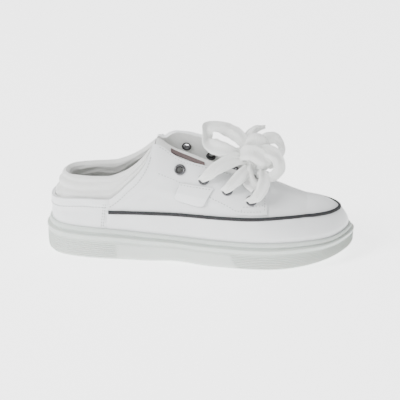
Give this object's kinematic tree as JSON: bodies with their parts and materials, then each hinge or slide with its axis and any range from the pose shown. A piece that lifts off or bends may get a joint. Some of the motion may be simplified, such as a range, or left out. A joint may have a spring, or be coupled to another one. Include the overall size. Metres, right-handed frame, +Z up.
{
  "type": "sneaker",
  "caption": "Low lace-up casual shoe, right foot: cup sole, leather upper with a low counter, soft collar, dark piping and a ribbon bow.",
  "frame": {"origin": "on the floor under the middle of the sole's bounding box", "axes": "+X toward the toe, -Y the lateral side, +Z up"},
  "size_m": [0.265, 0.0979, 0.1136],
  "materials": {
    "sole_rubber": "satin",
    "white_leather": "satin",
    "collar_fabric": "matte",
    "footbed": "matte",
    "piping_cord": "matte",
    "label_brown": "matte",
    "gunmetal": "satin",
    "lace_ribbon": "matte"
  },
  "bodies": {
    "root": {"outsole": "sole_rubber", "insole": "footbed", "upper": "white_leather", "collar": "collar_fabric", "tongue": "collar_fabric", "tongue_label": "label_brown", "eyestay_lateral": "white_leather", "eyestay_medial": "white_leather", "piping": "piping_cord", "side_tag": "white_leather", "eyelet_lateral_1": "gunmetal", "eyelet_lateral_2": "gunmetal", "eyelet_lateral_3": "gunmetal", "eyelet_lateral_4": "gunmetal", "eyelet_medial_1": "gunmetal", "eyelet_medial_2": "gunmetal", "eyelet_medial_3": "gunmetal", "eyelet_medial_4": "gunmetal", "lace_bar_1": "lace_ribbon", "lace_bar_2": "lace_ribbon", "lace_bar_3": "lace_ribbon", "lace_knot": "lace_ribbon", "lace_loop_back": "lace_ribbon", "lace_loop_front": "lace_ribbon", "lace_loop_far": "lace_ribbon", "lace_end": "lace_ribbon"}
  },
  "joints": []
}
